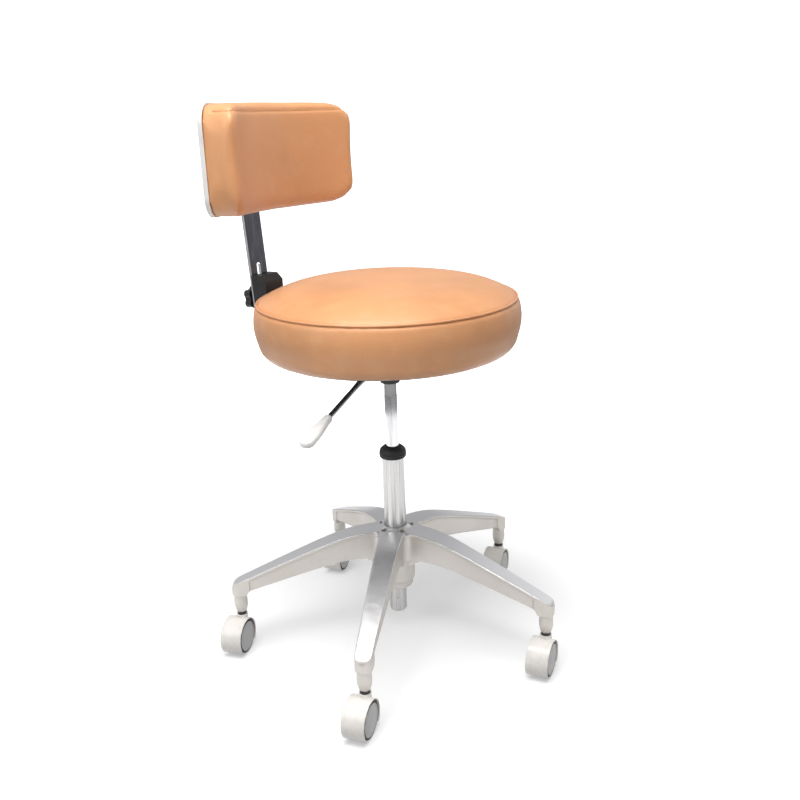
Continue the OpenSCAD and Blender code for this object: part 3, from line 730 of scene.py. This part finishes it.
def build_seat_cushion(skin):
    """Round boxed cushion: a crowned top panel welted to a side band that is pulled under the board."""
    low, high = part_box("seat_cushion")
    board_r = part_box("seat_board")[1].x + 0.0002
    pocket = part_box("seat_board")[1].z - low.z + 0.0002
    middle = (high.x + low.x) / 2, (high.y + low.y) / 2
    widest = (high.x - low.x) / 2
    seam_r = widest - 0.0065
    seam_h = 0.078
    crown = high.z - low.z - seam_h - 0.0015
    inset = 0.0003
    outline = [(0, pocket), (board_r, pocket), (board_r, 0.0004), (board_r + 0.004, 0.0004)]
    outline += arc(seam_r - 0.022, 0.0225, 0.0215, -70, 0, 8)
    outline += [(seam_r + (0.005 - inset) * math.sin(math.pi * t), 0.0225 + (seam_h - 0.0225) * t)
                for t in (0.15, 0.3, 0.45, 0.6, 0.75, 0.9, 1.0)]
    steps = 22
    for k in range(1, steps + 1):
        out = 1 - k / steps
        outline.append((seam_r * out, seam_h + 0.0004 + (crown - inset) * (1 - out ** 4.2)))
    made = revolve("seat_cushion_cover", outline, (middle[0], middle[1], low.z), skin, segments=160,
                   smooth_angle=180)
    voxel(made, 0.005)
    seam_z = low.z + seam_h

    def radius(p):
        return math.hypot(p.x - middle[0], p.y - middle[1])

    def held(p):
        if p.z < low.z + 0.016 and radius(p) < board_r + 0.008:
            return 1.0
        near = abs(p.z - seam_z) if radius(p) > seam_r - 0.015 else 1.0
        return 0.9 * math.exp(-0.5 * (near / 0.004) ** 2) if near < 0.012 else 0.0

    step_cloth(made, held, 4.0, 15.0, 0.0045)
    relax(made, 3, lambda p: 1.0)
    subdivide(made)
    tree = surface_tree(made)
    path = []
    count = 720
    for k in range(count):
        a = TAU * k / count
        out = Vector((math.cos(a), math.sin(a), 0))
        path.append(surface_hit(tree, Vector((middle[0], middle[1], seam_z)) + out * 0.3, -out))
    press_seam(made, path, 0.0016, 0.0028)
    pucker(made, middle, seam_z, seam_r)
    shade(made, 180)
    welt_path = []
    for k, p in enumerate(path):
        out = Vector((p.x - middle[0], p.y - middle[1], 0)).normalized()
        welt_path.append(p + out * -0.0005 + Vector((0, 0, 0.0006 + 0.0002 * noise.noise(p * 40))))
    welt = tube_along("seat_welt", welt_path, 0.0017, skin, sides=10)
    finished(made, "lift", "seat_cushion", slot="tan_leather")
    finished(welt, "lift", slot="tan_leather")


def pucker(made, middle, seam_z, seam_r):
    """Faint gathers that run away from the welt, and slow unevenness of the foam."""
    normals = [v.normal.copy() for v in made.data.vertices]
    for v, normal in zip(made.data.vertices, normals):
        p = v.co
        out = Vector((p.x - middle[0], p.y - middle[1], 0))
        if out.length < 0.05:
            continue
        angle = math.atan2(out.y, out.x)
        away = math.sqrt((out.length - seam_r) ** 2 + (p.z - seam_z) ** 2)
        gather = noise.noise(Vector((math.cos(angle) * 14, math.sin(angle) * 14, p.z * 8)))
        slow = noise.noise(p * 11)
        v.co = p + normal * (0.0007 * gather * math.exp(-away / 0.022) + 0.0006 * slow)


def build_back_cushion(skin, cotton):
    """Curved boxed pad, soft at its front edges, with a stitched seam near its top edge."""
    low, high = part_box("back_cushion")
    made = bpy.data.objects.new("back_cushion_cover", NODES["back_cushion"].data.copy())
    bpy.context.scene.collection.objects.link(made)
    made.data.materials.clear()
    made.data.materials.append(skin)
    tidy_normals(made)
    voxel(made, 0.004)
    curve_y = BACK_REAR_Y - BACK_CURVE_R
    rim = BACK_RIM

    def behind(p):
        """Depth in front of the rear curve."""
        return BACK_CURVE_R - math.hypot(p.x, p.y - curve_y)

    relax(made, 40, lambda p: (behind(p) - rim - 0.001) / 0.016)
    step_cloth(made, lambda p: 1.0 if behind(p) < rim + 0.005 else 0.0, 4.0, 12.0, 0.0015)
    relax(made, 12, lambda p: (behind(p) - rim - 0.001) / 0.012)
    fill_height(made, low, high, behind, rim)
    plump(made, low, high, behind, rim)
    subdivide(made)
    tree = surface_tree(made)
    path = pad_path(tree, curve_y, high.z - 0.0110)
    press_seam(made, path, 0.0013, 0.0018)
    seam = stitches("back_stitches", [p + seam_out(p, curve_y) * -0.0005 for p in path], cotton)
    normals = [v.normal.copy() for v in made.data.vertices]
    for v, normal in zip(made.data.vertices, normals):
        v.co += normal * 0.0007 * noise.noise(v.co * 17)
    shade(made, 180)
    finished(made, "back", "back_cushion", slot="tan_leather")
    finished(seam, "back", slot="tan_leather")


def fill_height(made, low, high, behind, rim):
    """Stretches the relaxed front of the pad to the height and width of the slab that it covers."""
    front = [v.co for v in made.data.vertices if behind(v.co) > 0.025]
    middle = (low.z + high.z) / 2
    tall = (high.z - low.z) / (max(p.z for p in front) - min(p.z for p in front))
    wide = (high.x - low.x) / (max(p.x for p in front) - min(p.x for p in front))
    for v in made.data.vertices:
        share = max(0.0, min(1.0, (behind(v.co) - rim) / 0.026))
        share = share * share * (3 - 2 * share)
        v.co.z += (v.co.z - middle) * (tall - 1) * share
        v.co.x += v.co.x * (wide - 1) * share


def plump(made, low, high, behind, rim):
    """Swells the middle of the front, the sides, the top and the bottom, as foam under a tight cover does."""
    middle = (low.z + high.z) / 2
    half_h = (high.z - low.z) / 2
    half_w = (high.x - low.x) / 2
    for v in made.data.vertices:
        share = max(0.0, min(1.0, (behind(v.co) - rim) / 0.03))
        across = max(-1.0, min(1.0, v.co.x / half_w))
        upward = max(-1.0, min(1.0, (v.co.z - middle) / half_h))
        v.co.y -= 0.0035 * share * (1 - across ** 2) * (1 - upward ** 2)
        v.co.x += 0.0030 * share * across ** 5 * (1 - upward ** 2)
        v.co.z += 0.0025 * share * upward ** 5 * (1 - across ** 2)


def seam_out(p, curve_y):
    """Unit vector from the pad's middle line towards p."""
    return (p - spine_point(p, curve_y)).normalized()


def spine_point(p, curve_y):
    """The point of the pad's middle line nearest to p in angle, at p's height."""
    angle = max(-SPINE_END, min(SPINE_END, math.atan2(p.x, p.y - curve_y)))
    return Vector((SPINE_R * math.sin(angle), curve_y + SPINE_R * math.cos(angle), p.z))


def pad_path(tree, curve_y, z):
    """A level line over the pad's left side, front and right side, at height z."""
    rays = []
    for turn in range(105, 0, -2):
        rays.append((-SPINE_END, math.radians(-turn)))
    for k in range(161):
        rays.append((-SPINE_END + 2 * SPINE_END * k / 160, 0.0))
    for turn in range(2, 106, 2):
        rays.append((SPINE_END, math.radians(turn)))
    path = []
    for angle, turn in rays:
        spine = spine_point(Vector((math.sin(angle), curve_y + math.cos(angle), z)), curve_y)
        forward = Vector((-math.sin(angle), -math.cos(angle), 0))
        aim = Matrix.Rotation(turn, 3, "Z") @ forward
        hit = surface_hit(tree, spine + aim * 0.12, -aim)
        if not path or (hit - path[-1]).length > 0.0008:
            path.append(hit)
    return path


# ------------------------------------------------------------------ hard pieces

def build_base(metal):
    cast = remeshed_copy("star_base", "star_base_casting", 0.0012, 5, metal)
    finished(cast, "base", "star_base", slot="cast_aluminium")


def caster_frame(i):
    """The caster's own frame at rest: Z up its stem, X towards its trailing side, origin on the floor."""
    swivel = JOINTS[f"caster_swivel_{i}"]
    spin = JOINTS[f"wheel_spin_left_{i}"]
    stem = Vector(swivel["pos_m"])
    hub = Vector(spin["pos_m"])
    trailing = Vector((hub.x - stem.x, hub.y - stem.y, 0)).normalized()
    across = Vector((0, 0, 1)).cross(trailing)
    turn = Matrix((trailing, across, Vector((0, 0, 1)))).transposed()
    return Matrix.Translation((stem.x, stem.y, 0)) @ turn.to_4x4()


def build_casters(ivory, grey, tread_rubber, steel, black):
    first = caster_frame(1)
    hood = remeshed_copy("caster_hood_1", "caster_hood_1_shell", 0.0008, 4, ivory)
    hood.data.transform(first.inverted())
    hood.matrix_world = first
    wheel_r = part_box("wheel_left_1")[1].z / 2
    for i in range(1, 6):
        place = caster_frame(i)
        if i > 1:
            hood = bpy.data.objects.new(f"caster_hood_{i}_shell", hood.data)
            bpy.context.scene.collection.objects.link(hood)
            hood.matrix_world = place
        finished(hood, f"caster_{i}", f"caster_hood_{i}", slot="ivory_plastic")
        refine(f"caster_stem_{i}", black, 0.0004)
        refine(f"caster_axle_{i}", steel, 0.0003)
        for side, name in ((1, "left"), (-1, "right")):
            hub = Vector(JOINTS[f"wheel_spin_{name}_{i}"]["pos_m"])
            outward = place.to_3x3() @ Vector((0, side, 0))
            build_wheel(f"wheel_{name}_{i}", hub, outward, wheel_r, grey, tread_rubber)


def build_wheel(node, hub, outward, wheel_r, grey, tread_rubber):
    """A grey disc, slightly domed inside a raised rim, and the black tread round it."""
    start = Vector((hub.x, hub.y, wheel_r))
    inner, outer = 0.0036, 0.0170
    rim = wheel_r - 0.0035
    plate = [(0.00305, inner), (0.007, inner), (0.007, 0.0125), (wheel_r - 0.0063, 0.0125),
             (wheel_r - 0.0063, inner + 0.002), (rim, inner + 0.002), (rim, outer - 0.0014)]
    plate += arc(rim - 0.0010, outer - 0.0012, 0.0010, 0, 90, 4)[1:]
    plate += [(rim - 0.0020, outer - 0.0002), (rim - 0.0026, outer - 0.0007), (rim - 0.0034, outer - 0.0009),
              (rim - 0.0045, outer - 0.0006)]
    plate += [(r, outer + 0.0004 - 0.0010 * (r / rim) ** 2) for r in (rim - 0.007, 0.013, 0.009, 0.005, 0.002)]
    plate += [(0, outer + 0.0004), (0, 0.0154), (0.00305, 0.0154), (0.00305, inner)]
    tread = [(rim + 0.0001, inner)] + arc(wheel_r - 0.0008, inner + 0.0008, 0.0008, -90, 0, 3)
    tread += arc(wheel_r - 0.0026, outer - 0.0032, 0.0026, 0, 80, 6)
    tread += [(rim + 0.0001, outer - 0.0008), (rim + 0.0001, inner)]
    made = revolve(f"{node}_disc", plate, start, grey, axis=outward, segments=72)
    ring = revolve(f"{node}_tread", tread, start, tread_rubber, axis=outward, segments=96)
    body = f"{node[:-2]}_body{node[-2:]}"
    finished(made, body, node, slot="grey_plastic")
    finished(ring, body, slot="black_rubber")


def build_collar(black):
    """Bulging rubber collar with two fine grooves."""
    low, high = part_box("column_collar")
    bore = 0.0104
    big = (high.x - low.x) / 2
    outline = [(COLUMN_R + 0.0001, 0), (big - 0.0014, 0), (big - 0.0006, 0.0008), (big - 0.0003, 0.0022),
               (big - 0.0009, 0.0029), (big - 0.0002, 0.0036), (big, 0.0060), (big - 0.0008, 0.0067),
               (big - 0.0002, 0.0074), (big - 0.0006, 0.0105), (big - 0.0018, 0.0132), (big - 0.0045, 0.0157),
               (bore + 0.0045, 0.0172), (bore + 0.0010, 0.0178), (bore, 0.0172), (bore, 0.0042),
               (COLUMN_R + 0.0001, 0.0042), (COLUMN_R + 0.0001, 0)]
    made = revolve("column_collar_ring", outline, (0, 0, low.z), black)
    finished(made, "base", "column_collar", slot="black_rubber")


def build_paddle(ivory):
    """Flattened spindle that swells towards its round tip."""
    pivot = Vector(JOINTS["lever_lift"]["pos_m"])
    along = Vector((-math.cos(LEVER_DROOP), 0, -math.sin(LEVER_DROOP)))
    across = Vector((0, 1, 0))
    up = across.cross(along)
    if up.z < 0:
        up = -up
    length = LEVER_LEN
    start = length - 0.066
    sections = []
    steps = 26
    for k in range(steps + 1):
        t = k / steps
        s = start + (length - start) * t
        swell = 0.0058 + 0.0057 * math.sin(min(t / 0.72, 1) * math.pi / 2) ** 1.6
        end = math.sqrt(max(0.0, 1 - max(0.0, (t - 0.80) / 0.20) ** 2.4))
        half_w = swell * end
        half_t = min(0.0065, 0.0060 + 0.0006 * t) * math.sqrt(max(0.0, 1 - max(0.0, (t - 0.86) / 0.14) ** 2))
        sections.append((s, half_w, half_t))
    sides = 40
    verts, faces = [], []
    hole = 0.0041
    verts.append(pivot + along * (start + 0.003))
    for s, radius in ((start + 0.003, hole), (start, hole)):
        for k in range(sides):
            a = TAU * k / sides
            verts.append(pivot + along * s + (across * math.cos(a) + up * math.sin(a)) * radius)
    for s, half_w, half_t in sections[:-1]:
        for k in range(sides):
            a = TAU * k / sides
            x = math.copysign(abs(math.cos(a)) ** 0.75, math.cos(a)) * half_w
            z = math.copysign(abs(math.sin(a)) ** 0.75, math.sin(a)) * half_t
            verts.append(pivot + along * s + across * x + up * z)
    verts.append(pivot + along * length)
    rings = len(sections) + 1
    for k in range(sides):
        n = (k + 1) % sides
        faces.append((0, 1 + k, 1 + n))
        for ring in range(rings - 1):
            base = 1 + ring * sides
            faces.append((base + k, base + sides + k, base + sides + n, base + n))
        base = 1 + (rings - 1) * sides
        faces.append((base + k, len(verts) - 1, base + n))
    made = new_object("lever_paddle_grip", verts, faces, ivory, 60)
    finished(made, "lever", "lever_paddle", slot="ivory_plastic")


def build_knob(black):
    knob = remeshed_copy("clamp_knob", "clamp_knob_grip", 0.0006, 4, black)
    finished(knob, "knob", "clamp_knob", slot="black_plastic")


def build_shell(white):
    refine("back_shell", white, 0.0012, segments=3, angle=40)


def finish_cad_nodes():
    """Edges and finishes of the pieces that stay as the CAD made them."""
    column = satin_steel("column_steel", (0.52, 0.515, 0.51), 0.32)
    steel = zinc_steel()
    dark = dark_steel()
    paint = black_paint()
    black = moulded("black_plastic", (0.018, 0.018, 0.019), 0.42, texture=0.5)
    refine("outer_column", column, 0.0004)
    refine("guide_bush", black, 0.0003)
    refine("thrust_bearing", steel, 0)
    refine("stem_sleeves", dark, 0.0003)
    refine("piston_rod", chrome("rod_chrome"), 0.0003)
    refine("retaining_clip", dark, 0.0001)
    refine("gas_cylinder", chrome_with_dull_taper(TAPER_Z), 0.0003)
    refine("valve_pin", brass(), 0.0003)
    refine("seat_mechanism", paint, 0.0007)
    refine("mechanism_screws", steel, 0.0005)
    refine("board_nuts", steel, 0.0003)
    refine("seat_board", plywood(), 0.0006)
    refine("dust_cover", lining(), 0)
    refine("lever_pivot_pin", steel, 0.0004)
    refine("release_lever", satin_steel("lever_steel", (0.50, 0.50, 0.51), 0.22), 0.0004)
    refine("back_bracket", paint, 0.0005)
    refine("bracket_bolts", steel, 0.0005)
    refine("guide_block", black, 0.0010, segments=3)
    refine("block_screws", steel, 0.0004)
    refine("back_bar", bar_steel(), 0.0006)
    refine("tilt_bracket", paint, 0.0004)
    refine("tilt_pin", steel, 0.0004)
    refine("tilt_bracket_screws", steel, 0.0004)
    refine("back_board", plywood(), 0.0004)
    return steel, dark, black


make_camera()
make_studio()
leather_skin = leather()
zinc, blackened, black_moulding = finish_cad_nodes()
ivory_gloss = moulded("ivory_plastic", (0.83, 0.80, 0.75), 0.28, coat=0.3, texture=0.15, dust=0.08)
build_seat_cushion(leather_skin)
build_back_cushion(leather_skin, thread())
build_base(cast_aluminium())
disc_grey = moulded("grey_plastic", (0.50, 0.50, 0.505), 0.38, texture=0.3, dust=0.08)
build_casters(ivory_gloss, disc_grey, rubber("tread_rubber"), zinc, blackened)
build_collar(rubber("collar_rubber"))
build_paddle(moulded("white_plastic", (0.84, 0.83, 0.81), 0.25, coat=0.4, texture=0.12, dust=0.12))
build_knob(black_moulding)
build_shell(moulded("shell_plastic", (0.80, 0.79, 0.76), 0.32, coat=0.2, texture=0.25, dust=0.15))
